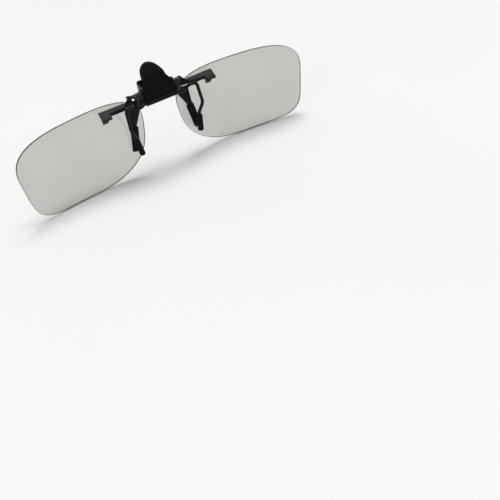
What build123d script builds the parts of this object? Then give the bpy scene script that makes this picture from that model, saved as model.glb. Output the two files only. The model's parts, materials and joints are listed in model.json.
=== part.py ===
"""Clip-on flip lenses: a sprung clamp that grips a pair of spectacles, and two tinted lenses
that flip up on a shaft across its front.

The origin is the middle of the clamp's gap, at the height where its pads grip. +X runs to the
wearer's left, +Z is up, -Y is the front, and +Y is the wearer's side. Millimetres.
"""
import os
from math import acos, asin, atan2, cos, radians, sin, tan

from build123d import *

os.makedirs("parts", exist_ok=True)

# ---- lenses -------------------------------------------------------------------------------
LENS_WIDTH = 57.0
LENS_HEIGHT = 35.0
LENS_THICKNESS = 1.0
LENS_SPACING = 16.0       # between the two nose edges
LENS_CURVE = 137.0        # radius of the lens's mid surface
LENS_TOP = 20.5           # height of the outline's top, under which the lens is riveted
DOME_X = 23.4             # where the lens's dome comes furthest forward
DOME_Y = -4.23            # its mid surface there
LENS_TAPER = 0.09         # share by which the top is wider, and the bottom narrower
LENS_FLARE = 0.025        # share by which the nose side is taller, and the temple side lower
LENS_SLANT = 0.28         # rise of the nose side, and fall of the temple side
CORNER_POWERS = (3.2, 3.4, 2.35, 5.0)   # top temple, top nose, bottom nose, bottom temple
LENS_EDGE_BREAK = 0.15

# ---- clamp --------------------------------------------------------------------------------
GRIP_GAP = 2.1            # open distance between front and rear pads
SHEET = 0.8               # stamped sheet of the clamp base and lever
PAD_THICKNESS = 1.6       # front sleeve, front to back
PAD_WIDTH = 3.2
PAD_X = 14.0              # middle of a front pad, level with the origin
PAD_SPREAD = 9.0          # degrees that the front legs spread towards their ends
PAD_TOP = 7.4
PAD_BOTTOM = -3.0
PAD_WALL_BELOW = 0.8      # rubber below the leg's end
WIRE_D = 1.4              # rear prong wire
SLEEVE_D = 2.4            # rear rubber sleeve
SLEEVE_TOP = 3.5
SLEEVE_BOTTOM = -3.4
WIRE_RECESS = 0.8         # how far the wire's end sits inside its sleeve
PIVOT_Y = -0.2            # clamp pin axis
PIVOT_Z = 20.0
PIN_D = 1.5
PIN_HEAD_D = 2.4
PIN_HEAD_T = 0.7
CHEEK_HALF = 5.8          # outside of the base's cheeks
EYE_R = 1.5               # metal around the clamp pin
WEB_FRONT = -6.1          # front face of the base's web
WEB_TOP = 23.6
WEB_BOTTOM = 14.6
WEB_CORNER_R = 0.9
CHEEK_DROP = 1.0          # cheek top below the web's top
SHOULDER_LOW = 14.6
SHOULDER_TIP = 16.05
SHOULDER_FALL = 0.1       # fall of its top towards the tip
SHOULDER_TOP = 18.1       # under the coils
SHOULDER_EASE = 0.15      # chamfer where the shoulder drops to clear the lens arm
SHOULDER_TIP_X = 13.6
LEG_WIDTH = 2.2
LEG_NECK = 8.0            # where the leg's straight strip starts

# ---- lever and thumb tab ------------------------------------------------------------------
LEVER_FRONT = 1.8         # front face of the lever's lower plate
LEVER_BEND_Z = 21.2
LEVER_LEAN = 34.0         # degrees that the tongue leans forward
TIP_BEND_Z = 26.4         # above this its round tip leans further
TIP_LEAN = 46.0
TAB_TOP = 30.05
TAB_RADIUS = 4.9
TAB_COVER = 0.8           # plastic around the lever's tongue
TONGUE_HALF = 3.2
TONGUE_ROUND = 2.4        # top corners of the tongue, inside the tab's round top
STAMP_R = 0.4             # other corners of the stamped lever
HEM_Z = 17.2
HEM_WALL = 0.6

# ---- springs ------------------------------------------------------------------------------
SPRING_WIRE_D = 0.6
COIL_MEAN_R = 1.3
COIL_TURNS = 4
LEG_LIFT = 0.45           # air between the coil's leg and the base it bears on
LEAF_T = 0.3
LEAF_HALF = 1.8
LEAF_RIVET_DROP = 1.6     # leaf rivet below the web's top
LEAF_KNEE_DROP = 2.6      # where the leaf bends away from the web

# ---- flip shaft and lens arms -------------------------------------------------------------
SHAFT_D = 1.4
SHAFT_Y = -3.6
SHAFT_Z = 19.2
DRUM_D = 2.4              # middle of the shaft, on which the friction leaf presses
DRUM_HALF_LENGTH = 2.4
HUB_INNER_X = 10.9
HUB_LENGTH = 1.3
HUB_WALL = 0.3            # metal around the shaft's bore
HUB_END = 0.3             # metal that closes the bore's outer end
NECK_T = 0.9
NECK_DROP = 1.4           # neck below the hub
NECK_RISE = 0.6           # neck above the shaft's axis
NECK_OVERLAP = 0.4        # neck into the bar
ARM_SHEET = 0.8
ARM_FRONT = -2.3          # top front edge of the arm, just behind the lens
ARM_TOP = 18.7
ARM_SLOPE = 31.0          # degrees that the arm's top falls towards the rear
ARM_STEP_X = 14.3         # where the arm widens, clear of the clamp's shoulders
ARM_BAR_DEPTH = 2.0
ARM_EDGE = 0.5            # slant under the arm's front edge
LIP_BOTTOM = 16.2
LIP_SHEET = 0.7
TAB_INNER_X = 21.5
TAB_OUTER_X = 25.5
ARM_TAB_DEPTH = 4.6
FLANGE_BELOW = 1.0        # flange below the lower rivet
FLANGE_WIDTH = 2.4
FLANGE_SHEET = 0.7
RIVET_DROPS = (6.3, 4.3)  # lens rivets below the lens's top
RIVET_D = 1.0
RIVET_HEAD_D = 1.9
RIVET_HEAD_T = 0.45
WASHER_D = 2.0
WASHER_T = 0.25
CLIP_WALL = 0.6
CLIP_T = 0.5

# ---- clearances ---------------------------------------------------------------------------
RUNNING = 0.05            # radial, in the two hinges
SNUG = 0.02               # radial, between pieces that move together
SIDE = 0.2                # along a hinge, between cheek and ear

# ---- worked out ---------------------------------------------------------------------------
LENS_X = LENS_SPACING / 2 + LENS_WIDTH / 2
LENS_Z = LENS_TOP - LENS_HEIGHT / 2
wrap = asin((LENS_X - DOME_X) / LENS_CURVE)    # each lens turns back by this towards the temple
LENS_Y = DOME_Y + LENS_CURVE * (1 - cos(wrap))
RIVET_HEIGHTS = [LENS_TOP - drop for drop in RIVET_DROPS]
FLANGE_BOTTOM = RIVET_HEIGHTS[0] - FLANGE_BELOW
HUB_R = SHAFT_D / 2 + HUB_WALL
SHOULDER_STEP_X = HUB_INNER_X - SIDE
LEAF_RIVET_Z = WEB_TOP - LEAF_RIVET_DROP
CHEEK_TOP = WEB_TOP - CHEEK_DROP
PAD_FACE = -GRIP_GAP / 2
spread = radians(PAD_SPREAD)
LEG_Y = PAD_FACE - PAD_THICKNESS / 2
LEG_FRONT = LEG_Y - SHEET / 2
LEG_REAR = LEG_Y + SHEET / 2
PRONG_Y = GRIP_GAP / 2 + SLEEVE_D / 2
EAR_INNER = CHEEK_HALF + SIDE
EAR_OUTER = EAR_INNER + SHEET
COIL_PITCH = SPRING_WIRE_D + 0.04
COIL_START = EAR_OUTER + SIDE + SPRING_WIRE_D / 2
COIL_END = COIL_START + COIL_PITCH * (COIL_TURNS - 1)
PIN_HALF = COIL_END + SPRING_WIRE_D / 2 + SIDE
HEM_R = WIRE_D / 2 + HEM_WALL
HEM_Y = LEVER_FRONT + HEM_R - HEM_WALL
SHAFT_HALF = HUB_INNER_X + HUB_LENGTH - HUB_END
WEB_REAR = WEB_FRONT + SHEET


def lens_outline():
    """Closed outline of one lens, temple side at +x: four super-ellipse corners."""
    points = []
    steps = 9
    for quadrant, power in enumerate(CORNER_POWERS):
        for step in range(steps):
            angle = radians(90 * (quadrant + step / steps))
            across = abs(cos(angle)) ** (2 / power) * (1 if cos(angle) > 0 else -1)
            up = abs(sin(angle)) ** (2 / power) * (1 if sin(angle) > 0 else -1)
            x = LENS_WIDTH / 2 / (1 + 0.26 * LENS_TAPER) * across * (1 + LENS_TAPER * up)
            z = LENS_HEIGHT / 2 * up * (1 - LENS_FLARE * across) - LENS_SLANT * across
            points.append((x, z))
    return points


def tangent_point(target, centre, radius, side):
    """Point of a circle, as (y, z), where a straight leg to target leaves it."""
    dy = target[0] - centre[0]
    dz = target[1] - centre[1]
    reach = (dy * dy + dz * dz) ** 0.5
    angle = atan2(dz, dy) + side * acos(radius / reach)
    return (centre[0] + radius * cos(angle), centre[1] + radius * sin(angle))


def leg_x(z):
    """X of the middle of a front leg at this height."""
    return PAD_X - z * sin(spread) / cos(spread)


def side_plane(x):
    """Plane across the object at x, whose sketch axes are Y and Z."""
    return Plane(origin=(x, 0, 0), x_dir=(0, 1, 0), z_dir=(1, 0, 0))


def front_plane(y):
    """Plane facing the wearer at y, whose sketch axes are X and Z, extruded towards -Y."""
    return Plane(origin=(0, y, 0), x_dir=(1, 0, 0), z_dir=(0, -1, 0))


def save(piece, label):
    piece.part.label = label
    export_step(piece.part, f"parts/{label}.step")


def save_pair(piece, label):
    """Write a piece made for +X as the left one, and its mirror image as the right one."""
    save(piece, f"{label}_left")
    with BuildPart() as twin:
        add(mirror(piece.part, about=Plane.YZ))
    save(twin, f"{label}_right")


# ---- clamp base: web, cheeks, shoulders and front legs in one stamping ---------------------
with BuildPart() as clamp_base:
    with BuildSketch(front_plane(WEB_REAR)):
        with BuildLine():
            FilletPolyline(
                (-CHEEK_HALF, WEB_BOTTOM), (CHEEK_HALF, WEB_BOTTOM), (CHEEK_HALF, WEB_TOP),
                (-CHEEK_HALF, WEB_TOP), close=True, radius=WEB_CORNER_R)
        make_face()
    extrude(amount=SHEET)
    for side in (-1, 1):
        with BuildSketch(side_plane(side * CHEEK_HALF)):
            with BuildLine():
                Polyline(
                    (WEB_FRONT, WEB_BOTTOM), (LEG_FRONT, SHOULDER_LOW), (LEG_REAR, SHOULDER_LOW),
                    (LEG_REAR, SHOULDER_TIP + 0.6), (PIVOT_Y + EYE_R, PIVOT_Z),
                    (PIVOT_Y, PIVOT_Z + EYE_R), (WEB_REAR, CHEEK_TOP),
                    (WEB_FRONT, CHEEK_TOP), close=True)
            make_face()
            with Locations((PIVOT_Y, PIVOT_Z)):
                Circle(EYE_R)
        extrude(amount=-side * SHEET)
        with BuildSketch(front_plane(LEG_REAR)):
            with BuildLine():
                Polyline(
                    (side * (CHEEK_HALF - SHEET), SHOULDER_LOW), (side * 8.2, SHOULDER_LOW),
                    (side * (leg_x(LEG_NECK) - LEG_WIDTH / 2), LEG_NECK),
                    (side * (leg_x(LEG_NECK) + LEG_WIDTH / 2), LEG_NECK),
                    (side * SHOULDER_TIP_X, SHOULDER_TIP - SHOULDER_FALL),
                    (side * (SHOULDER_STEP_X + SHOULDER_EASE), SHOULDER_TIP),
                    (side * SHOULDER_STEP_X, SHOULDER_TIP + SHOULDER_EASE),
                    (side * SHOULDER_STEP_X, SHOULDER_TOP),
                    (side * (CHEEK_HALF - SHEET), SHOULDER_TOP), close=True)
            make_face()
            leg_end = PAD_BOTTOM + PAD_WALL_BELOW
            leg_middle = (LEG_NECK + leg_end) / 2
            with Locations((side * leg_x(leg_middle), leg_middle)):
                Rectangle(LEG_WIDTH, (LEG_NECK - leg_end) / cos(spread), rotation=side * PAD_SPREAD)
        extrude(amount=SHEET)
    for y, z, bore in ((PIVOT_Y, PIVOT_Z, PIN_D / 2 + SNUG), (SHAFT_Y, SHAFT_Z, SHAFT_D / 2 + RUNNING)):
        with BuildSketch(side_plane(-CHEEK_HALF)):
            with Locations((y, z)):
                Circle(bore)
        extrude(amount=2 * CHEEK_HALF, mode=Mode.SUBTRACT)
    with BuildSketch(front_plane(WEB_REAR)):
        with Locations((0, LEAF_RIVET_Z)):
            Circle(RIVET_D / 2 + SNUG)
    extrude(amount=SHEET, mode=Mode.SUBTRACT)
save(clamp_base, "clamp_base")

# ---- front rubber sleeves: flat pads pulled over the legs ----------------------------------
sleeve_foot = Plane(
    origin=(leg_x(PAD_BOTTOM), LEG_Y, PAD_BOTTOM),
    x_dir=(cos(spread), 0, sin(spread)), z_dir=(-sin(spread), 0, cos(spread)))
sleeve_length = (PAD_TOP - PAD_BOTTOM) / cos(spread)
pocket = (PAD_WALL_BELOW - 0.5 * LEG_WIDTH * sin(spread)) / cos(spread)
with BuildPart() as front_sleeve:
    with BuildSketch(sleeve_foot):
        RectangleRounded(PAD_WIDTH, PAD_THICKNESS, 0.5)
    extrude(amount=sleeve_length)
    with BuildSketch(sleeve_foot.offset(pocket)):
        Rectangle(LEG_WIDTH + 2 * SNUG, SHEET + 2 * SNUG)
    extrude(amount=sleeve_length, mode=Mode.SUBTRACT)
    fillet(front_sleeve.faces().sort_by(Axis.Z)[0].edges(), radius=0.35)
save_pair(front_sleeve, "front_sleeve")

# ---- clamp pin with one head, and the push-on ring that closes its other end ---------------
with BuildPart() as clamp_pin:
    with BuildSketch(side_plane(-PIN_HALF)):
        with Locations((PIVOT_Y, PIVOT_Z)):
            Circle(PIN_D / 2)
    extrude(amount=2 * PIN_HALF + PIN_HEAD_T)
    with BuildSketch(side_plane(-PIN_HALF)):
        with Locations((PIVOT_Y, PIVOT_Z)):
            Circle(PIN_HEAD_D / 2)
    extrude(amount=-PIN_HEAD_T)
    fillet(clamp_pin.faces().sort_by(Axis.X)[0].edges(), radius=0.3)
save(clamp_pin, "clamp_pin")

with BuildPart() as pin_ring:
    with BuildSketch(side_plane(PIN_HALF)):
        with Locations((PIVOT_Y, PIVOT_Z)):
            Circle(PIN_HEAD_D / 2)
            Circle(PIN_D / 2 + SNUG, mode=Mode.SUBTRACT)
    extrude(amount=PIN_HEAD_T - 0.2)
save(pin_ring, "pin_ring")

# ---- lever: lower plate, ears, tongue, and the hem that holds the wire ----------------------
LEVER_REAR = LEVER_FRONT + SHEET
TONGUE_TOP = TAB_TOP - TAB_COVER


def lean(height):
    """How far the leaning tongue has come forward at this height."""
    straight = min(height, TIP_BEND_Z) - LEVER_BEND_Z
    beyond = max(height - TIP_BEND_Z, 0)
    return straight * tan(radians(LEVER_LEAN)) + beyond * tan(radians(TIP_LEAN))


with BuildPart() as lever:
    with BuildSketch(side_plane(-EAR_OUTER)):
        with BuildLine():
            Polyline(
                (LEVER_FRONT, HEM_Z), (LEVER_REAR, HEM_Z), (LEVER_REAR, LEVER_BEND_Z),
                (LEVER_REAR - lean(TIP_BEND_Z), TIP_BEND_Z),
                (LEVER_REAR - lean(TONGUE_TOP), TONGUE_TOP),
                (LEVER_FRONT - lean(TONGUE_TOP), TONGUE_TOP),
                (LEVER_FRONT - lean(TIP_BEND_Z), TIP_BEND_Z),
                (LEVER_FRONT, LEVER_BEND_Z), close=True)
        make_face()
    extrude(amount=2 * EAR_OUTER)
    with BuildSketch(front_plane(LEVER_REAR)):
        with BuildLine():
            FilletPolyline(
                (-EAR_OUTER, HEM_Z), (EAR_OUTER, HEM_Z), (EAR_OUTER, LEVER_BEND_Z + 1.0),
                (TONGUE_HALF, LEVER_BEND_Z + 3.6), (TONGUE_HALF, TONGUE_TOP),
                (-TONGUE_HALF, TONGUE_TOP), (-TONGUE_HALF, LEVER_BEND_Z + 3.6),
                (-EAR_OUTER, LEVER_BEND_Z + 1.0), close=True,
                radius=[STAMP_R] * 4 + [TONGUE_ROUND] * 2 + [STAMP_R] * 2)
        make_face()
    extrude(amount=12, both=True, mode=Mode.INTERSECT)
    for side in (-1, 1):
        with BuildSketch(side_plane(side * EAR_OUTER)):
            with BuildLine():
                Polyline(
                    (PIVOT_Y, PIVOT_Z - EYE_R), (LEVER_REAR, PIVOT_Z - EYE_R - 0.5),
                    (LEVER_REAR, LEVER_BEND_Z), (LEVER_FRONT, LEVER_BEND_Z + 0.4),
                    (PIVOT_Y, PIVOT_Z + EYE_R), close=True)
            make_face()
            with Locations((PIVOT_Y, PIVOT_Z)):
                Circle(EYE_R)
        extrude(amount=-side * SHEET)
    with BuildSketch(side_plane(-EAR_OUTER)):
        with Locations((HEM_Y, HEM_Z)):
            Circle(HEM_R)
    extrude(amount=2 * EAR_OUTER)
    for y, z, bore in ((HEM_Y, HEM_Z, WIRE_D / 2 + SNUG), (PIVOT_Y, PIVOT_Z, PIN_D / 2 + RUNNING)):
        with BuildSketch(side_plane(-EAR_OUTER)):
            with Locations((y, z)):
                Circle(bore)
        extrude(amount=2 * EAR_OUTER, mode=Mode.SUBTRACT)
save(lever, "lever")

# ---- thumb tab: moulded cover over the back of the lever and around its tongue --------------
TAB_LOW = HEM_Z + HEM_R + 0.1
TAB_REAR = LEVER_REAR + TAB_COVER
TAB_FRONT = LEVER_FRONT - TAB_COVER
COLLAR_Z = LEVER_BEND_Z + 4.2      # above this the cover closes round the tongue

with BuildPart() as tongue_pocket:
    with BuildSketch(side_plane(-TONGUE_HALF - SNUG)):
        with BuildLine():
            top = TONGUE_TOP + SNUG
            Polyline(
                (LEVER_FRONT - SNUG, LEVER_BEND_Z), (LEVER_REAR + SNUG, LEVER_BEND_Z),
                (LEVER_REAR + SNUG - lean(TIP_BEND_Z), TIP_BEND_Z),
                (LEVER_REAR + SNUG - lean(top), top), (LEVER_FRONT - SNUG - lean(top), top),
                (LEVER_FRONT - SNUG - lean(TIP_BEND_Z), TIP_BEND_Z), close=True)
        make_face()
    extrude(amount=2 * (TONGUE_HALF + SNUG))
    with BuildSketch(front_plane(TAB_REAR)):
        with BuildLine():
            half = TONGUE_HALF + SNUG
            FilletPolyline(
                (-half, 0), (half, 0), (half, top), (-half, top), close=True,
                radius=[STAMP_R] * 2 + [TONGUE_ROUND + SNUG] * 2)
        make_face()
    extrude(amount=12, both=True, mode=Mode.INTERSECT)

with BuildPart() as thumb_tab:
    with BuildSketch(side_plane(-EAR_OUTER)):
        with BuildLine():
            Polyline(
                (LEVER_REAR + SNUG, TAB_LOW), (TAB_REAR, TAB_LOW), (TAB_REAR, LEVER_BEND_Z),
                (TAB_REAR - lean(TIP_BEND_Z), TIP_BEND_Z),
                (TAB_REAR - lean(TAB_TOP), TAB_TOP), (TAB_FRONT - lean(TAB_TOP), TAB_TOP),
                (TAB_FRONT - lean(TIP_BEND_Z), TIP_BEND_Z),
                (TAB_FRONT - lean(COLLAR_Z), COLLAR_Z),
                (LEVER_REAR + SNUG - lean(COLLAR_Z), COLLAR_Z),
                (LEVER_REAR + SNUG, LEVER_BEND_Z), close=True)
        make_face()
    extrude(amount=2 * EAR_OUTER)
    with BuildSketch(front_plane(TAB_REAR)):
        with Locations((0, TAB_TOP - TAB_RADIUS)):
            Circle(TAB_RADIUS)
        with BuildLine():
            Polyline(
                (-EAR_OUTER, TAB_LOW), (EAR_OUTER, TAB_LOW), (EAR_OUTER, LEVER_BEND_Z + 1.2),
                (TAB_RADIUS, TAB_TOP - TAB_RADIUS), (-TAB_RADIUS, TAB_TOP - TAB_RADIUS),
                (-EAR_OUTER, LEVER_BEND_Z + 1.2), close=True)
        make_face()
    extrude(amount=12, both=True, mode=Mode.INTERSECT)
    add(tongue_pocket.part, mode=Mode.SUBTRACT)
save(thumb_tab, "thumb_tab")

# ---- rear prongs: one wire through the hem, arched over the rim on each side ----------------
half_route = [
    (EAR_OUTER + 0.6, HEM_Y, HEM_Z),
    (9.7, HEM_Y + 0.7, HEM_Z - 0.6),
    (12.6, HEM_Y + 0.3, HEM_Z + 0.8),
    (15.9, HEM_Y + 0.6, HEM_Z + 0.8),
    (16.3, PRONG_Y + 2.0, 9.2),
    (14.6, PRONG_Y, SLEEVE_TOP + 1.2),
    (13.6, PRONG_Y, SLEEVE_BOTTOM + WIRE_RECESS),
]
half_bends = [1.5, 1.2, 1.5, 1.6, 4.0, 1.5]
mirrored_route = [(-x, y, z) for x, y, z in reversed(half_route)]
with BuildPart() as rear_wire:
    with BuildLine() as wire_path:
        FilletPolyline(*mirrored_route, *half_route, radius=half_bends[::-1] + half_bends)
    with BuildSketch(Plane(origin=wire_path.line @ 0, z_dir=wire_path.line % 0)):
        Circle(WIRE_D / 2)
    sweep()
save(rear_wire, "rear_wire")

# ---- rear rubber sleeves, open at their lower end ------------------------------------------
prong_top = Vector(*half_route[-2])
prong_end = Vector(*half_route[-1])
prong_way = (prong_end - prong_top).normalized()
sleeve_top = prong_top + prong_way * (prong_top.Z - SLEEVE_TOP)
with BuildPart() as rear_sleeve:
    with BuildSketch(Plane(origin=sleeve_top, z_dir=prong_way)):
        Circle(SLEEVE_D / 2)
        Circle(WIRE_D / 2 + SNUG, mode=Mode.SUBTRACT)
    extrude(amount=SLEEVE_TOP - SLEEVE_BOTTOM)
    fillet(rear_sleeve.edges().filter_by(GeomType.CIRCLE).group_by(SortBy.RADIUS)[-1], radius=0.25)
save_pair(rear_sleeve, "rear_sleeve")

# ---- torsion springs on the clamp pin, one outside each ear --------------------------------
base_leg_end = (LEG_REAR + LEG_LIFT + SPRING_WIRE_D / 2, SHOULDER_TIP - 0.2)
lever_leg_z = LEVER_BEND_Z + 1.6
lever_leg_y = LEVER_FRONT - lean(lever_leg_z) - SPRING_WIRE_D * 0.62
with BuildPart() as clamp_spring:
    with BuildSketch(Plane(origin=(0, PIVOT_Y, PIVOT_Z), x_dir=(1, 0, 0), z_dir=(0, 0, 1))):
        with Locations(*[(COIL_START + COIL_PITCH * turn, COIL_MEAN_R) for turn in range(COIL_TURNS)]):
            Circle(SPRING_WIRE_D / 2)
        with Locations(((COIL_START + COIL_END) / 2, COIL_MEAN_R)):
            Rectangle(COIL_END - COIL_START, SPRING_WIRE_D * 0.55)
    revolve(axis=Axis((0, PIVOT_Y, PIVOT_Z), (1, 0, 0)))
    leaves_at = tangent_point(base_leg_end, (PIVOT_Y, PIVOT_Z), COIL_MEAN_R, 1)
    with BuildLine() as base_leg:
        Line((COIL_END, *leaves_at), (COIL_END, *base_leg_end))
    with BuildSketch(Plane(origin=base_leg.line @ 0, z_dir=base_leg.line % 0)):
        Circle(SPRING_WIRE_D / 2)
    sweep()
    leaves_at = tangent_point((lever_leg_y, lever_leg_z), (PIVOT_Y, PIVOT_Z), COIL_MEAN_R, -1)
    with BuildLine() as lever_leg:
        FilletPolyline(
            (COIL_START, *leaves_at), (COIL_START, lever_leg_y, lever_leg_z),
            (EAR_INNER - 0.8, lever_leg_y, lever_leg_z), radius=SPRING_WIRE_D)
    with BuildSketch(Plane(origin=lever_leg.line @ 0, z_dir=lever_leg.line % 0)):
        Circle(SPRING_WIRE_D / 2)
    sweep()
save_pair(clamp_spring, "clamp_spring")

# ---- flip shaft with its drum, and the clips beside the cheeks ------------------------------
with BuildPart() as flip_shaft:
    with BuildSketch(side_plane(-SHAFT_HALF)):
        with Locations((SHAFT_Y, SHAFT_Z)):
            Circle(SHAFT_D / 2)
    extrude(amount=2 * SHAFT_HALF)
    with BuildSketch(side_plane(-DRUM_HALF_LENGTH)):
        with Locations((SHAFT_Y, SHAFT_Z)):
            Circle(DRUM_D / 2)
    extrude(amount=2 * DRUM_HALF_LENGTH)
save(flip_shaft, "flip_shaft")

with BuildPart() as shaft_clips:
    for side in (-1, 1):
        with BuildSketch(side_plane(side * EAR_INNER)):
            with Locations((SHAFT_Y, SHAFT_Z)):
                Circle(SHAFT_D / 2 + CLIP_WALL)
                Circle(SHAFT_D / 2 + SNUG, mode=Mode.SUBTRACT)
        extrude(amount=side * CLIP_T)
save(shaft_clips, "shaft_clips")

# ---- friction leaf behind the web, pressing on the drum, and its rivet ----------------------
LEAF_FRONT = SHAFT_Y - DRUM_D / 2 - SNUG - LEAF_T
with BuildPart() as friction_leaf:
    with BuildSketch(side_plane(-LEAF_HALF)):
        with BuildLine():
            Polyline(
                (LEAF_FRONT, SHAFT_Z - 1.8), (LEAF_FRONT + LEAF_T, SHAFT_Z - 1.8),
                (LEAF_FRONT + LEAF_T, SHAFT_Z + 0.8), (WEB_REAR + LEAF_T + SNUG, WEB_TOP - LEAF_KNEE_DROP),
                (WEB_REAR + LEAF_T + SNUG, WEB_TOP - 0.4), (WEB_REAR + SNUG, WEB_TOP - 0.4),
                (WEB_REAR + SNUG, WEB_TOP - LEAF_KNEE_DROP), (LEAF_FRONT, SHAFT_Z + 0.8), close=True)
        make_face()
    extrude(amount=2 * LEAF_HALF)
    with BuildSketch(front_plane(0)):
        with Locations((0, LEAF_RIVET_Z)):
            Circle(RIVET_D / 2 + SNUG)
    extrude(amount=10, mode=Mode.SUBTRACT)
save(friction_leaf, "friction_leaf")

with BuildPart() as leaf_rivet:
    with BuildSketch(front_plane(WEB_REAR + LEAF_T + 3 * SNUG)):
        with Locations((0, LEAF_RIVET_Z)):
            Circle(RIVET_D / 2)
    extrude(amount=SHEET + LEAF_T + 4 * SNUG)
    for y, way in ((WEB_REAR + LEAF_T + 3 * SNUG, -1), (WEB_FRONT - SNUG, 1)):
        with BuildSketch(front_plane(y)):
            with Locations((0, LEAF_RIVET_Z)):
                Circle(RIVET_HEAD_D / 2)
        extrude(amount=way * RIVET_HEAD_T)
save(leaf_rivet, "leaf_rivet")

# ---- lenses: spherical shell cut to the outline, with two rivet holes -----------------------
lens_plane = Plane(
    origin=(LENS_X, LENS_Y, LENS_Z), x_dir=(cos(wrap), sin(wrap), 0), z_dir=(sin(wrap), -cos(wrap), 0))
RIVET_X = (TAB_INNER_X + TAB_OUTER_X) / 2


def lens_surface(x, z, offset):
    """Y of the lens's surface at x and z; offset 0 is the middle, positive is the rear."""
    centre = lens_plane.origin - lens_plane.z_dir * LENS_CURVE
    inside = (LENS_CURVE - offset) ** 2 - (x - centre.X) ** 2 - (z - centre.Z) ** 2
    return centre.Y - inside ** 0.5


rivet_middle = sum(RIVET_HEIGHTS) / len(RIVET_HEIGHTS)
mount_tilt = atan2(
    lens_surface(RIVET_X, RIVET_HEIGHTS[1], 0) - lens_surface(RIVET_X, RIVET_HEIGHTS[0], 0),
    RIVET_HEIGHTS[1] - RIVET_HEIGHTS[0])
# Sketch axes of the mount plane are X and up along the lens; its normal points to the front.
mount_plane = Plane(
    origin=(RIVET_X, lens_surface(RIVET_X, rivet_middle, 0), rivet_middle),
    x_dir=(1, 0, 0), z_dir=(0, -cos(mount_tilt), sin(mount_tilt)))
rivet_spots = [(0, (z - rivet_middle) / cos(mount_tilt)) for z in RIVET_HEIGHTS]

with BuildPart() as lens:
    with BuildSketch(lens_plane):
        with BuildLine():
            Spline(*lens_outline(), periodic=True)
        make_face()
    extrude(amount=12, both=True)
    with Locations(lens_plane.origin - lens_plane.z_dir * LENS_CURVE):
        Sphere(LENS_CURVE + LENS_THICKNESS / 2, mode=Mode.INTERSECT)
        Sphere(LENS_CURVE - LENS_THICKNESS / 2, mode=Mode.SUBTRACT)
    with BuildSketch(mount_plane.offset(4)):
        with Locations(*rivet_spots):
            Circle(RIVET_D / 2 + SNUG)
    extrude(amount=-8, mode=Mode.SUBTRACT)
save_pair(lens, "lens")

# ---- lens arms: hub on the shaft, sloping bar, and the tab riveted to the lens --------------
slope_y = cos(radians(ARM_SLOPE))
slope_z = -sin(radians(ARM_SLOPE))


def along_slope(distance, below=0.0):
    """Point (y, z) of the arm's sloping plate, from its top front edge."""
    return (ARM_FRONT + slope_y * distance + slope_z * below,
            ARM_TOP + slope_z * distance - slope_y * below)


flange_rear = LENS_THICKNESS / 2 + WASHER_T + 2 * SNUG
NECK_REAR = ARM_FRONT + NECK_T     # neck of the arm, close behind the lens
NECK_BOTTOM = SHOULDER_TIP + 0.55  # above the shoulder, to clear it as the arm turns

with BuildPart() as lens_arm:
    with BuildSketch(side_plane(HUB_INNER_X)):
        with Locations((SHAFT_Y, SHAFT_Z)):
            Circle(HUB_R)
        with BuildLine():
            Polyline(
                (SHAFT_Y, SHAFT_Z + HUB_R), (NECK_REAR, SHAFT_Z + HUB_R - 0.2),
                (NECK_REAR, SHAFT_Z - HUB_R), (SHAFT_Y, SHAFT_Z - HUB_R), close=True)
        make_face()
    extrude(amount=HUB_LENGTH)
    with BuildSketch(front_plane(NECK_REAR)):
        with BuildLine():
            Polyline(
                (HUB_INNER_X, SHAFT_Z - HUB_R), (HUB_INNER_X, SHAFT_Z + NECK_RISE),
                (HUB_INNER_X + HUB_LENGTH, SHAFT_Z + NECK_RISE),
                (ARM_STEP_X + NECK_OVERLAP, ARM_TOP - ARM_SHEET),
                (ARM_STEP_X + NECK_OVERLAP, NECK_BOTTOM),
                (HUB_INNER_X, SHAFT_Z - HUB_R - NECK_DROP), close=True)
        make_face()
    extrude(amount=NECK_T)
    with BuildSketch(side_plane(ARM_STEP_X)):
        with BuildLine():
            lip_rear, lip_top = along_slope(ARM_BAR_DEPTH)
            Polyline(
                along_slope(0), (lip_rear, lip_top), (lip_rear, LIP_BOTTOM),
                (lip_rear - LIP_SHEET, LIP_BOTTOM),
                (lip_rear - LIP_SHEET, along_slope(ARM_BAR_DEPTH, ARM_SHEET)[1]),
                along_slope(ARM_EDGE, ARM_SHEET), close=True)
        make_face()
    extrude(amount=TAB_INNER_X + 0.1 - ARM_STEP_X)
    with BuildSketch(side_plane(TAB_INNER_X)):
        with BuildLine():
            Polyline(
                along_slope(0), along_slope(ARM_TAB_DEPTH), along_slope(ARM_TAB_DEPTH, ARM_SHEET),
                along_slope(ARM_EDGE, ARM_SHEET), close=True)
        make_face()
    extrude(amount=TAB_OUTER_X - TAB_INNER_X)
    flange_height = ARM_TOP - FLANGE_BOTTOM
    with BuildSketch(mount_plane.offset(-flange_rear)):
        with Locations((0, (ARM_TOP + FLANGE_BOTTOM) / 2 - rivet_middle - 0.25)):
            Rectangle(FLANGE_WIDTH, flange_height - 0.5)
    extrude(amount=-FLANGE_SHEET)
    with BuildSketch(side_plane(HUB_INNER_X - 0.1)):
        with Locations((SHAFT_Y, SHAFT_Z)):
            Circle(SHAFT_D / 2 + SNUG)
    extrude(amount=SHAFT_HALF - HUB_INNER_X + 0.1 + SNUG, mode=Mode.SUBTRACT)
    with BuildSketch(mount_plane):
        with Locations(*rivet_spots):
            Circle(RIVET_D / 2 + SNUG)
    extrude(amount=-3, mode=Mode.SUBTRACT)
save_pair(lens_arm, "lens_arm")

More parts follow.
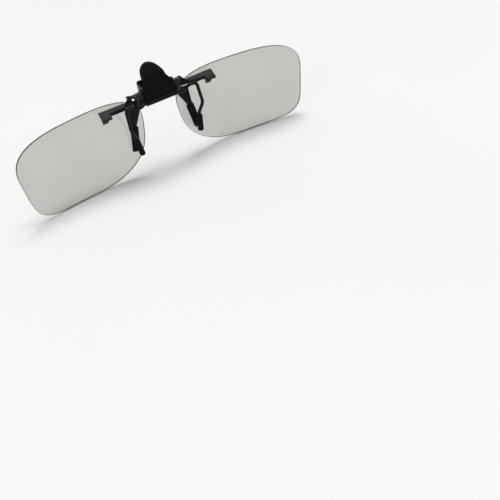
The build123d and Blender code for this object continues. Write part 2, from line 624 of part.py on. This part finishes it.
# ---- washers on both faces of each lens, and the rivets through them ------------------------
washer_front = LENS_THICKNESS / 2 + SNUG
with BuildPart() as lens_washers:
    for start, amount in ((washer_front, WASHER_T), (-washer_front, -WASHER_T)):
        with BuildSketch(mount_plane.offset(start)):
            with Locations(*rivet_spots):
                Circle(WASHER_D / 2)
                Circle(RIVET_D / 2 + SNUG, mode=Mode.SUBTRACT)
        extrude(amount=amount)
save_pair(lens_washers, "lens_washers")

shank_front = washer_front + WASHER_T + SNUG
shank_rear = -(flange_rear + FLANGE_SHEET + SNUG)
with BuildPart() as lens_rivets:
    with BuildSketch(mount_plane.offset(shank_rear)):
        with Locations(*rivet_spots):
            Circle(RIVET_D / 2)
    extrude(amount=shank_front - shank_rear)
    for start, amount in ((shank_front, RIVET_HEAD_T), (shank_rear, -RIVET_HEAD_T)):
        with BuildSketch(mount_plane.offset(start)):
            with Locations(*rivet_spots):
                Circle(RIVET_HEAD_D / 2)
        extrude(amount=amount, taper=20)
save_pair(lens_rivets, "lens_rivets")
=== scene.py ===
"""The looks of the clip-on flip lenses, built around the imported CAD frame. Metres throughout."""

import json
from math import acos, asin, atan2, cos, pi, radians, sin, tau

import bmesh
import bpy
from mathutils import Matrix, Vector


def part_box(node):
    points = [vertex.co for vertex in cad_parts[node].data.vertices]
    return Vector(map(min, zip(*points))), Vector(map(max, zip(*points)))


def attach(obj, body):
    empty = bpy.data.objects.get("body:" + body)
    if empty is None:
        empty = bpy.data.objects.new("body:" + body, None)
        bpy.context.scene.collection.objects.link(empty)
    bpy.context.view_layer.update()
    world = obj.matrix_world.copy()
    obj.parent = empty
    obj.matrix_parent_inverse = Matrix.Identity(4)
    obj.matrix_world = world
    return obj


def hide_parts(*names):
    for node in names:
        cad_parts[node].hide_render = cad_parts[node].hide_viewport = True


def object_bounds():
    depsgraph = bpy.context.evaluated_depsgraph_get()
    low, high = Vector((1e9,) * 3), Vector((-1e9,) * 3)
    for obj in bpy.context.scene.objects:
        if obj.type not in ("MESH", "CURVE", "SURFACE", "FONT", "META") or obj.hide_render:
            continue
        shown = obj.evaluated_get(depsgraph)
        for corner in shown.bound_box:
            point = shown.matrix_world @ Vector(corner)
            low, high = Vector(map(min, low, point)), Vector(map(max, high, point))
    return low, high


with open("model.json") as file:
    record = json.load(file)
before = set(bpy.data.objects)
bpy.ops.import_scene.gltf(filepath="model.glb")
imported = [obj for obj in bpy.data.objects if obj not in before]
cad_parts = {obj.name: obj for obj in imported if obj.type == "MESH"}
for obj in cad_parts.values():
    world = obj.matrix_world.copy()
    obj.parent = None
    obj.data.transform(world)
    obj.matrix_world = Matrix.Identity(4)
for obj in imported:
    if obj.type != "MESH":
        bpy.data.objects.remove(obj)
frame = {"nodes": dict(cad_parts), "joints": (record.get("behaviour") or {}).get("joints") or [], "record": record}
CAD_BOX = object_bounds()
NODES = frame["nodes"]
MM = 0.001
MICRON = 1e-6

# ---- camera, as fitted to the photograph's viewpoint -----------------------------------------
CAMERA_PLACE = Vector((0.11873, 0.34433, 0.18239))
CAMERA_AIM = Vector((-0.3172, -0.7628, -0.5635))
CAMERA_RIGHT = Vector((-0.8560, 0.4861, -0.1761))
CAMERA_FOCAL_MM = 70.6

# ---- studio ----------------------------------------------------------------------------------
FLOOR_HALF = 12.0
FLOOR_BELOW = 0.3 * MM             # gap between the object and the floor
WALL_LIGHT = 0.93
CEILING_LIGHT = 0.31
WALL_FADE = (0.16, 0.42)           # sines of the elevations between which wall turns into ceiling
STUDIO_COLOUR = (0.98, 0.99, 1.0, 1)
PANEL_TOWARDS = (-0.22, -0.08, 0.85)
PANEL_STRENGTH = 2.1
PANEL_WIDTH = radians(38)          # angle that the overhead panel fills, seen from the object
FILL_PLACE = (0.7, 0.5, 0.6)
FILL_SIZE = 0.5
FILL_POWER = 0.6
FILL_COLOUR = (0.95, 0.97, 1.0)

# ---- lens sizes ------------------------------------------------------------------------------
LENS_WIDTH = 57.0 * MM
LENS_HEIGHT = 35.0 * MM
LENS_THICKNESS = 1.0 * MM
LENS_SPACING = 16.0 * MM
LENS_CURVE = 137.0 * MM
LENS_TOP = 20.5 * MM
DOME_X = 23.4 * MM                 # where the lens's dome comes furthest forward
DOME_Y = -4.23 * MM                # its middle surface there
LENS_TAPER = 0.09                  # share by which the top is wider, and the bottom narrower
WIDEST_GAIN = 0.26                 # share of the taper that the widest place gains
LENS_FLARE = 0.025                 # share by which the nose side is taller, the temple side lower
LENS_SLANT = 0.28 * MM             # rise of the nose side, and fall of the temple side
LENS_CORNER_POWERS = (3.2, 3.4, 2.35, 5.0)     # upper temple, upper nose, lower nose, lower temple
OUTLINE_STEPS = 4000
LENS_RINGS = 28
LENS_SPOKES = 240
RIM_STEPS = 10
EDGE_ROUND = 0.16 * MM
LENS_CENTRE_X = (LENS_SPACING + LENS_WIDTH) / 2
LENS_CENTRE_Z = LENS_TOP - LENS_HEIGHT / 2
LENS_WRAP = asin((LENS_CENTRE_X - DOME_X) / LENS_CURVE)
LENS_CENTRE_Y = DOME_Y + LENS_CURVE * (1 - cos(LENS_WRAP))
RIVET_DROPS = (6.3 * MM, 4.3 * MM)             # rivets below the lens's top
RIVET_HOLE_R = 0.52 * MM
HOLE_SIDES = 48

# ---- spring sizes ----------------------------------------------------------------------------
COIL_MEAN_R = 1.3 * MM
SPRING_WIRE_R = 0.3 * MM
COIL_TURNS = 4
COIL_GAP = 0.04 * MM               # between one turn and the next
STEPS_PER_TURN = 40
BASE_LEG_FORWARD = 0.50 * MM       # how far in front of the pin the spring's base leg ends
LEVER_LEG_BEHIND = 0.55 * MM       # how far behind the pin its lever leg ends
LEG_BEND_R = 0.6 * MM
LEG_BEND_STEPS = 6
WIRE_ROUNDNESS = 6                 # Blender's bevel resolution

# ---- thumb tab and sleeve sizes --------------------------------------------------------------
TAB_TOP_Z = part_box("thumb_tab")[1].z
TAB_LEAN = radians(40)
TAB_VOXEL = 0.12 * MM
TAB_RELAX_PASSES = 9
DISH_R = 4.1 * MM
DISH_DEPTH = 0.16 * MM
DISH_FROM_TOP = 4.9 * MM
FACES_REAR = 0.4                   # least Y of a normal inside the dish
FACES_DOWN = -0.75                 # greatest Z of a normal on a cut end
CUT_END_DEPTH = 0.6 * MM

# ---- mesh limits -----------------------------------------------------------------------------
MERGE_WITHIN = MICRON
FLAT_WITHIN = radians(0.6)
ROUNDED_ABOVE = radians(32)


# ---- node helpers ----------------------------------------------------------------------------
def new_material(name):
    """A node material and its Principled shader."""
    made = bpy.data.materials.new(name)
    made.use_nodes = True
    return made, made.node_tree, made.node_tree.nodes["Principled BSDF"]


def noise(tree, scale, detail=3.0, rough=0.5, stretch=(1, 1, 1)):
    """Noise in the object's own space; scale is in waves per metre."""
    place = tree.nodes.new("ShaderNodeTexCoord")
    mapping = tree.nodes.new("ShaderNodeMapping")
    mapping.inputs["Scale"].default_value = stretch
    texture = tree.nodes.new("ShaderNodeTexNoise")
    texture.inputs["Scale"].default_value = scale
    texture.inputs["Detail"].default_value = detail
    texture.inputs["Roughness"].default_value = rough
    tree.links.new(place.outputs["Object"], mapping.inputs["Vector"])
    tree.links.new(mapping.outputs["Vector"], texture.inputs["Vector"])
    return texture.outputs["Fac"]


def ramp(tree, fac, low, high, start=0.35, end=0.65):
    """Colours from low to high as fac goes from start to end."""
    node = tree.nodes.new("ShaderNodeValToRGB")
    node.color_ramp.elements[0].position = start
    node.color_ramp.elements[1].position = end
    node.color_ramp.elements[0].color = (*low, 1)
    node.color_ramp.elements[1].color = (*high, 1)
    tree.links.new(fac, node.inputs["Fac"])
    return node.outputs["Color"]


def spread(tree, fac, low, high):
    """Maps fac from 0..1 to low..high."""
    node = tree.nodes.new("ShaderNodeMapRange")
    node.inputs["To Min"].default_value = low
    node.inputs["To Max"].default_value = high
    tree.links.new(fac, node.inputs["Value"])
    return node.outputs["Result"]


def paint(tree, shader, fac, low, high, start=0.35, end=0.65):
    """Gives the shader a base colour between low and high."""
    tree.links.new(ramp(tree, fac, low, high, start, end), shader.inputs["Base Color"])


def gloss(tree, shader, fac, low, high):
    """Gives the shader a roughness between low and high."""
    tree.links.new(spread(tree, fac, low, high), shader.inputs["Roughness"])


def bump(tree, heights, shader):
    """Chains bumps, each (height, depth in microns), into the shader's normal."""
    before = None
    for height, depth in heights:
        node = tree.nodes.new("ShaderNodeBump")
        node.inputs["Strength"].default_value = 1.0
        node.inputs["Distance"].default_value = depth * MICRON
        tree.links.new(height, node.inputs["Height"])
        if before:
            tree.links.new(before, node.inputs["Normal"])
        before = node.outputs["Normal"]
    tree.links.new(before, shader.inputs["Normal"])


# ---- materials -------------------------------------------------------------------------------
def black_metal():
    """Satin black paint on stamped steel: fine orange peel, slightly uneven gloss."""
    made, tree, shader = new_material("black_metal")
    cloud = noise(tree, 900, 4)
    paint(tree, shader, cloud, (0.0048, 0.0056, 0.0076), (0.0088, 0.0102, 0.0132))
    gloss(tree, shader, noise(tree, 2600, 4), 0.24, 0.38)
    shader.inputs["Specular IOR Level"].default_value = 0.10
    bump(tree, [(noise(tree, 5200, 2), 8), (noise(tree, 700, 2), 20)], shader)
    return made


def moulded_plastic():
    """Matte black plastic with a fine spark-eroded texture."""
    made, tree, shader = new_material("tab_plastic")
    cloud = noise(tree, 420, 5, 0.6)
    paint(tree, shader, cloud, (0.0032, 0.0031, 0.0045), (0.0062, 0.0060, 0.0082))
    gloss(tree, shader, noise(tree, 1500, 4), 0.42, 0.60)
    shader.inputs["Specular IOR Level"].default_value = 0.05
    bump(tree, [(noise(tree, 6500, 3, 0.6), 16), (noise(tree, 500, 2), 30)], shader)
    return made


def sleeve_rubber():
    """Soft black rubber tube: matte, faint drawn lines, a dusty bloom."""
    made, tree, shader = new_material("sleeve_rubber")
    bloom = noise(tree, 700, 5, 0.62)
    paint(tree, shader, bloom, (0.0045, 0.0045, 0.0058), (0.0125, 0.0125, 0.0145), 0.4, 0.75)
    gloss(tree, shader, noise(tree, 2200, 3), 0.55, 0.8)
    shader.inputs["Specular IOR Level"].default_value = 0.07
    shader.inputs["Sheen Weight"].default_value = 0.01
    lines = noise(tree, 3800, 2, 0.5, (1, 1, 0.08))
    bump(tree, [(noise(tree, 7000, 2), 10), (lines, 10)], shader)
    return made


def rubber_end_painted_highlight():
    """The cut end of a rubber tube, painted pale grey as a painted highlight, with a rough grain."""
    made, tree, shader = new_material("rubber_end_painted_highlight")
    grain = noise(tree, 2600, 5, 0.65)
    # pale grey far above the rubber's black: a painted highlight on the tube's end
    paint(tree, shader, grain, (0.10, 0.10, 0.10), (0.24, 0.24, 0.235))
    gloss(tree, shader, noise(tree, 1800, 3), 0.7, 0.9)
    bump(tree, [(grain, 40)], shader)
    return made


def dark_steel(name, along, level):
    """Darkened bright steel with drawn or turned lines; along squeezes the lines' direction."""
    made, tree, shader = new_material(name)
    lines = noise(tree, 6500, 3, 0.55, along)
    low = (level * 0.7, level * 0.71, level * 0.74)
    high = (level * 1.25, level * 1.25, level * 1.27)
    paint(tree, shader, noise(tree, 1300, 4), low, high)
    shader.inputs["Metallic"].default_value = 1.0
    gloss(tree, shader, lines, 0.2, 0.38)
    bump(tree, [(lines, 6)], shader)
    return made


def nylon():
    """Milky washer nylon."""
    made, tree, shader = new_material("washer_nylon")
    paint(tree, shader, noise(tree, 1500, 4), (0.42, 0.42, 0.40), (0.55, 0.55, 0.53))
    gloss(tree, shader, noise(tree, 3000, 3), 0.35, 0.5)
    shader.inputs["Transmission Weight"].default_value = 0.35
    bump(tree, [(noise(tree, 5000, 2), 6)], shader)
    return made


def lens_face():
    """Lightly tinted clear plastic, polished, with the slight unevenness of a cast lens."""
    made, tree, shader = new_material("lens_tint")
    cloud = noise(tree, 60, 2)
    paint(tree, shader, cloud, (0.560, 0.565, 0.529), (0.582, 0.587, 0.551))
    gloss(tree, shader, noise(tree, 300, 3), 0.0, 0.012)
    shader.inputs["Transmission Weight"].default_value = 1.0
    shader.inputs["IOR"].default_value = 1.49
    bump(tree, [(noise(tree, 90, 2), 6)], shader)
    return made


def lens_edge():
    """The ground and buffed rim of the lens, darker because it is seen through its length."""
    made, tree, shader = new_material("lens_edge")
    grain = noise(tree, 3800, 3, 0.6)
    paint(tree, shader, grain, (0.075, 0.082, 0.062), (0.15, 0.155, 0.125))
    gloss(tree, shader, noise(tree, 2000, 3), 0.25, 0.45)
    shader.inputs["Transmission Weight"].default_value = 0.55
    shader.inputs["IOR"].default_value = 1.49
    bump(tree, [(grain, 10)], shader)
    return made


def pale_floor():
    """Matte near-white studio floor."""
    made, tree, shader = new_material("floor")
    paint(tree, shader, noise(tree, 6, 2), (0.90, 0.90, 0.895), (0.915, 0.915, 0.91))
    gloss(tree, shader, noise(tree, 40, 3), 0.85, 0.95)
    shader.inputs["Specular IOR Level"].default_value = 0.1
    return made


BLACK = black_metal()
PLASTIC = moulded_plastic()
RUBBER = sleeve_rubber()
# painted highlight for the sleeves' lower ends
RUBBER_END_HIGHLIGHT = rubber_end_painted_highlight()
SPRING = dark_steel("spring_steel", (1, 0.3, 0.3), 0.07)
TURNED = dark_steel("pin_steel", (1, 0.08, 0.08), 0.05)
NYLON = nylon()
LENS = lens_face()
LENS_RIM = lens_edge()


# ---- mesh helpers ----------------------------------------------------------------------------
def body_of(node):
    """The CAD body that a node belongs to."""
    bodies = frame["record"]["behaviour"]["bodies"]
    return next(body for body, members in bodies.items() if node in members)


def stands_for(piece, node):
    """The piece rides on the node's body and hides the node."""
    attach(piece, body_of(node))
    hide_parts(node)


def new_piece(name, mesh, *materials):
    """An object in the scene, with its materials."""
    piece = bpy.data.objects.new(name, mesh)
    bpy.context.scene.collection.objects.link(piece)
    for entry in materials:
        piece.data.materials.append(entry)
    return piece


def bake_modifiers(piece):
    """Puts the modifiers' result into the piece's mesh."""
    bpy.context.view_layer.update()
    graph = bpy.context.evaluated_depsgraph_get()
    mesh = bpy.data.meshes.new_from_object(piece.evaluated_get(graph))
    piece.modifiers.clear()
    piece.data = mesh


def smooth(mesh, angle=35.0):
    """Smooth shading, with edges sharper than the angle left sharp."""
    for face in mesh.polygons:
        face.use_smooth = True
    mesh.set_sharp_from_angle(angle=radians(angle))


def bare_copy(node):
    """The node's mesh as a new mesh with merged points and whole flat faces."""
    mesh = bpy.data.meshes.new(node)
    work = bmesh.new()
    work.from_mesh(NODES[node].data)
    bmesh.ops.remove_doubles(work, verts=work.verts, dist=MERGE_WITHIN)
    bmesh.ops.dissolve_limit(work, angle_limit=FLAT_WITHIN, verts=work.verts, edges=work.edges)
    work.to_mesh(mesh)
    work.free()
    return mesh


def soften(node, material, width, segments=3):
    """The node with every sharp edge rounded off, as on a tumbled stamping or a turned part."""
    piece = new_piece(f"{node}_finished", bare_copy(node), material)
    rounding = piece.modifiers.new("rounding", "BEVEL")
    rounding.width = width
    rounding.segments = segments
    rounding.limit_method = "ANGLE"
    rounding.angle_limit = ROUNDED_ABOVE
    bake_modifiers(piece)
    smooth(piece.data)
    stands_for(piece, node)
    return piece


def remould(node, material, voxel, passes, press):
    """The node as one soft moulding: an even fine mesh, relaxed, each point moved by press."""
    piece = new_piece(f"{node}_finished", bare_copy(node), material)
    even = piece.modifiers.new("even", "REMESH")
    even.mode = "VOXEL"
    even.voxel_size = voxel
    relax = piece.modifiers.new("relax", "SMOOTH")
    relax.factor = 0.5
    relax.iterations = passes
    bake_modifiers(piece)
    moves = [press(vertex.co, vertex.normal) for vertex in piece.data.vertices]
    for vertex, move in zip(piece.data.vertices, moves):
        vertex.co += move
    smooth(piece.data, 60)
    stands_for(piece, node)


# ---- lenses ----------------------------------------------------------------------------------
def lens_outline(angle):
    """Point (across, up) of the lens's outline from its centre; across grows to the temple."""
    turn = angle % tau
    power = LENS_CORNER_POWERS[int(turn / (pi / 2)) % 4]
    across = abs(cos(turn)) ** (2 / power) * (1 if cos(turn) > 0 else -1)
    up = abs(sin(turn)) ** (2 / power) * (1 if sin(turn) > 0 else -1)
    x = LENS_WIDTH / 2 / (1 + WIDEST_GAIN * LENS_TAPER) * across * (1 + LENS_TAPER * up)
    z = LENS_HEIGHT / 2 * up * (1 - LENS_FLARE * across) - LENS_SLANT * across
    return x, z


def even_outline(count):
    """The lens's outline as count points at equal steps along its length."""
    fine = [lens_outline(tau * i / OUTLINE_STEPS) for i in range(OUTLINE_STEPS)]
    fine.append(fine[0])
    lengths = [0.0]
    for (x0, z0), (x1, z1) in zip(fine, fine[1:]):
        lengths.append(lengths[-1] + ((x1 - x0) ** 2 + (z1 - z0) ** 2) ** 0.5)
    points = []
    at = 0
    for i in range(count):
        goal = lengths[-1] * i / count
        while lengths[at + 1] < goal:
            at += 1
        share = (goal - lengths[at]) / (lengths[at + 1] - lengths[at])
        points.append(tuple(a + (b - a) * share for a, b in zip(fine[at], fine[at + 1])))
    return points


def lens_point(across, up, depth, side):
    """A point of the lens: depth from -0.5 at its front face to 0.5 at its rear face."""
    radius = LENS_CURVE - depth * LENS_THICKNESS
    sag = LENS_CURVE - (radius ** 2 - across ** 2 - up ** 2) ** 0.5
    x = LENS_CENTRE_X + across * cos(LENS_WRAP) - sag * sin(LENS_WRAP)
    y = LENS_CENTRE_Y + across * sin(LENS_WRAP) + sag * cos(LENS_WRAP)
    return Vector((side * x, y, LENS_CENTRE_Z + up))


def dome_y(x, z):
    """Y of the lens's middle surface at x and z."""
    inside = LENS_CURVE ** 2 - (x - DOME_X) ** 2 - (z - LENS_CENTRE_Z) ** 2
    return DOME_Y + LENS_CURVE - inside ** 0.5


def drill_rivet_holes(piece, node):
    """Cuts the lens's two rivet holes, square to its surface between them."""
    low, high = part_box(node.replace("lens", "lens_rivets"))
    x = (low.x + high.x) / 2
    heights = [LENS_TOP - drop for drop in RIVET_DROPS]
    lower, upper = (Vector((x, dome_y(abs(x), z), z)) for z in heights)
    sideways = Vector((1, 0, 0))
    upright = (upper - lower).normalized()
    turn = Matrix((sideways, upright, sideways.cross(upright))).transposed().to_4x4()
    work = bmesh.new()
    for spot in (lower, upper):
        bmesh.ops.create_cone(
            work, cap_ends=True, segments=HOLE_SIDES, radius1=RIVET_HOLE_R, radius2=RIVET_HOLE_R,
            depth=4 * LENS_THICKNESS, matrix=Matrix.Translation(spot) @ turn)
    mesh = bpy.data.meshes.new("drill")
    work.to_mesh(mesh)
    work.free()
    drill = new_piece("drill", mesh)
    cut = piece.modifiers.new("rivet_holes", "BOOLEAN")
    cut.operation = "DIFFERENCE"
    cut.solver = "EXACT"
    cut.object = drill
    bake_modifiers(piece)
    bpy.data.objects.remove(drill)


def make_lens(node, side):
    """A domed lens with a rounded, ground rim and real holes for its rivets."""
    outline = even_outline(LENS_SPOKES)
    half_turn = [step * pi / RIM_STEPS for step in range(RIM_STEPS + 1)]
    front = [(ring / LENS_RINGS, 0.0, -0.5) for ring in range(1, LENS_RINGS)]
    rim = [(1.0, (1 - sin(turn)) * EDGE_ROUND, -0.5 * cos(turn)) for turn in half_turn]
    rear = [(share, 0.0, 0.5) for share, _, _ in reversed(front)]
    work = bmesh.new()
    rows = []
    for share, drawn_in, depth in front + rim + rear:
        row = []
        for across, up in outline:
            length = (across ** 2 + up ** 2) ** 0.5
            scale = share * (1 - drawn_in / length)
            row.append(work.verts.new(lens_point(across * scale, up * scale, depth, side)))
        rows.append(row)
    for index, (inner, outer) in enumerate(zip(rows, rows[1:])):
        on_rim = len(front) <= index < len(front) + RIM_STEPS
        for i in range(LENS_SPOKES):
            j = (i + 1) % LENS_SPOKES
            face = work.faces.new((inner[i], inner[j], outer[j], outer[i]))
            face.material_index = 1 if on_rim else 0
    for row, depth in ((rows[0], -0.5), (rows[-1], 0.5)):
        middle = work.verts.new(lens_point(0, 0, depth, side))
        for i in range(LENS_SPOKES):
            work.faces.new((middle, row[i], row[(i + 1) % LENS_SPOKES]))
    bmesh.ops.recalc_face_normals(work, faces=work.faces)
    mesh = bpy.data.meshes.new(f"{node}_finished")
    work.to_mesh(mesh)
    work.free()
    piece = new_piece(f"{node}_finished", mesh, LENS, LENS_RIM)
    drill_rivet_holes(piece, node)
    smooth(piece.data, 45)
    stands_for(piece, node)


# ---- springs ---------------------------------------------------------------------------------
def leaves_coil(target, side):
    """Angle round the pin at which a straight leg to target (y, z from the pin) leaves the coil."""
    reach = (target[0] ** 2 + target[1] ** 2) ** 0.5
    return atan2(target[1], target[0]) + side * acos(COIL_MEAN_R / reach)


def make_spring(node, side):
    """A wound torsion spring: turns of wire, a base leg and a lever leg."""
    low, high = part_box(node)
    pin = Vector(frame["joints"][0]["pos_m"])
    inner_x = min(abs(low.x), abs(high.x))
    outer_x = max(abs(low.x), abs(high.x)) - SPRING_WIRE_R
    pitch = 2 * SPRING_WIRE_R + COIL_GAP
    coil_start = outer_x - pitch * (COIL_TURNS - 1)
    base_end = (-BASE_LEG_FORWARD, low.z - pin.z)
    lever_z = high.z - SPRING_WIRE_R - pin.z
    lever_end = (LEVER_LEG_BEHIND, lever_z)
    first = leaves_coil(lever_end, -1)
    last = leaves_coil(base_end, 1)
    turns = COIL_TURNS - 1 + ((first - last) % tau) / tau
    points = [(inner_x + SPRING_WIRE_R, *lever_end)]
    for step in range(LEG_BEND_STEPS + 1):
        angle = pi / 2 * step / LEG_BEND_STEPS
        x = coil_start - LEG_BEND_R + LEG_BEND_R * sin(angle)
        points.append((x, lever_end[0], lever_end[1] + LEG_BEND_R * (cos(angle) - 1)))
    steps = STEPS_PER_TURN * COIL_TURNS
    for step in range(steps + 1):
        share = step / steps
        angle = first - turns * tau * share
        x = coil_start + (outer_x - coil_start) * share
        points.append((x, COIL_MEAN_R * cos(angle), COIL_MEAN_R * sin(angle)))
    points.append((outer_x, *base_end))
    curve = bpy.data.curves.new(f"{node}_finished", "CURVE")
    curve.dimensions = "3D"
    curve.bevel_depth = SPRING_WIRE_R
    curve.bevel_resolution = WIRE_ROUNDNESS
    curve.use_fill_caps = True
    spline = curve.splines.new("POLY")
    spline.points.add(len(points) - 1)
    for point, (x, y, z) in zip(spline.points, points):
        point.co = (side * x, pin.y + y, pin.z + z, 1)
    holder = bpy.data.objects.new("holder", curve)
    bpy.context.scene.collection.objects.link(holder)
    bpy.context.view_layer.update()
    mesh = bpy.data.meshes.new_from_object(holder)
    bpy.data.objects.remove(holder)
    piece = new_piece(f"{node}_finished", mesh, SPRING)
    smooth(piece.data, 50)
    stands_for(piece, node)


# ---- the pieces ------------------------------------------------------------------------------
def dish(point, normal):
    """The move that presses a shallow thumb hollow into the rear of the tab's round top."""
    rise = (point.z - TAB_TOP_Z + DISH_FROM_TOP) / cos(TAB_LEAN)
    away = (point.x ** 2 + rise ** 2) ** 0.5 / DISH_R
    if away >= 1 or normal.y < FACES_REAR:
        return Vector((0, 0, 0))
    return -normal * DISH_DEPTH * (1 - away ** 4) ** 2


def paint_end_highlight(sleeve):
    """Gives the tube's square lower end a painted highlight: its downward faces take the pale grey end material.
    """
    sleeve.data.materials.append(RUBBER_END_HIGHLIGHT)
    low = min(vertex.co.z for vertex in sleeve.data.vertices)
    for face in sleeve.data.polygons:
        if face.normal.z < FACES_DOWN and face.center.z < low + CUT_END_DEPTH:
            # the lower end's downward faces get the painted highlight
            face.material_index = 1


for side, word in ((1, "left"), (-1, "right")):
    make_lens(f"lens_{word}", side)
    make_spring(f"clamp_spring_{word}", side)
    soften(f"lens_arm_{word}", BLACK, 0.13 * MM)
    soften(f"lens_rivets_{word}", TURNED, 0.14 * MM)
    soften(f"lens_washers_{word}", NYLON, 0.05 * MM, 2)
    soften(f"front_sleeve_{word}", RUBBER, 0.12 * MM, 4)
    # the rear sleeves' lower ends get a painted highlight
    paint_end_highlight(soften(f"rear_sleeve_{word}", RUBBER, 0.10 * MM, 4))

for node, material, rounding_mm in (
        ("clamp_base", BLACK, 0.12),
        ("lever", BLACK, 0.12),
        ("clamp_pin", TURNED, 0.12),
        ("pin_ring", TURNED, 0.08),
        ("flip_shaft", TURNED, 0.10),
        ("shaft_clips", SPRING, 0.08),
        ("friction_leaf", SPRING, 0.06),
        ("leaf_rivet", TURNED, 0.12),
        ("rear_wire", BLACK, 0.10)):
    soften(node, material, rounding_mm * MM)
remould("thumb_tab", PLASTIC, TAB_VOXEL, TAB_RELAX_PASSES, dish)


# ---- floor, light and camera -----------------------------------------------------------------
def make_floor():
    """A wide plain floor just under the object."""
    low = CAD_BOX[0][2] - FLOOR_BELOW
    mesh = bpy.data.meshes.new("floor")
    corners = [(x * FLOOR_HALF, y * FLOOR_HALF, low) for x, y in ((-1, -1), (1, -1), (1, 1), (-1, 1))]
    mesh.from_pydata(corners, [], [(0, 1, 2, 3)])
    floor = new_piece("floor", mesh, pale_floor())


def new_lamp(name, kind, power):
    """A lamp of the kind, in the scene, and its light."""
    light = bpy.data.lights.new(name, kind)
    light.energy = power
    lamp = bpy.data.objects.new(name, light)
    bpy.context.scene.collection.objects.link(lamp)
    return lamp, light


def make_fill():
    """A weak soft lamp beside the camera, aimed at the object."""
    lamp, light = new_lamp("fill", "AREA", FILL_POWER)
    light.shape = "DISK"
    light.size = FILL_SIZE
    light.color = FILL_COLOUR
    lamp.location = FILL_PLACE
    lamp.rotation_euler = (-Vector(FILL_PLACE)).to_track_quat("-Z", "Y").to_euler()


def make_overhead_panel():
    """A wide studio panel far overhead, which lights the floor evenly."""
    lamp, light = new_lamp("overhead", "SUN", PANEL_STRENGTH)
    light.angle = PANEL_WIDTH
    lamp.rotation_euler = Vector(PANEL_TOWARDS).to_track_quat("Z", "Y").to_euler()


def make_world():
    """A white studio: a pale wall round the horizon, and a dimmer ceiling above it."""
    world = bpy.data.worlds.new("studio")
    world.use_nodes = True
    tree = world.node_tree
    direction = tree.nodes.new("ShaderNodeTexCoord")
    parts = tree.nodes.new("ShaderNodeSeparateXYZ")
    height = tree.nodes.new("ShaderNodeMapRange")
    height.inputs["From Min"].default_value = WALL_FADE[0]
    height.inputs["From Max"].default_value = WALL_FADE[1]
    height.inputs["To Min"].default_value = WALL_LIGHT
    height.inputs["To Max"].default_value = CEILING_LIGHT
    tree.links.new(direction.outputs["Generated"], parts.inputs["Vector"])
    tree.links.new(parts.outputs["Z"], height.inputs["Value"])
    shader = tree.nodes["Background"]
    shader.inputs["Color"].default_value = STUDIO_COLOUR
    tree.links.new(height.outputs["Result"], shader.inputs["Strength"])
    bpy.context.scene.world = world


def make_camera():
    """The camera at its fitted place."""
    camera = bpy.data.objects.new("camera", bpy.data.cameras.new("camera"))
    bpy.context.scene.collection.objects.link(camera)
    camera.data.sensor_width = 36.0
    camera.data.lens = CAMERA_FOCAL_MM
    camera.data.clip_start = 0.01
    back = -CAMERA_AIM.normalized()
    right = (CAMERA_RIGHT - back * CAMERA_RIGHT.dot(back)).normalized()
    up = back.cross(right)
    turn = Matrix((right, up, back)).transposed()
    camera.matrix_world = Matrix.Translation(CAMERA_PLACE) @ turn.to_4x4()
    bpy.context.scene.camera = camera


make_floor()
make_world()
make_camera()
make_overhead_panel()
make_fill()
bpy.context.scene.view_settings.view_transform = "Standard"
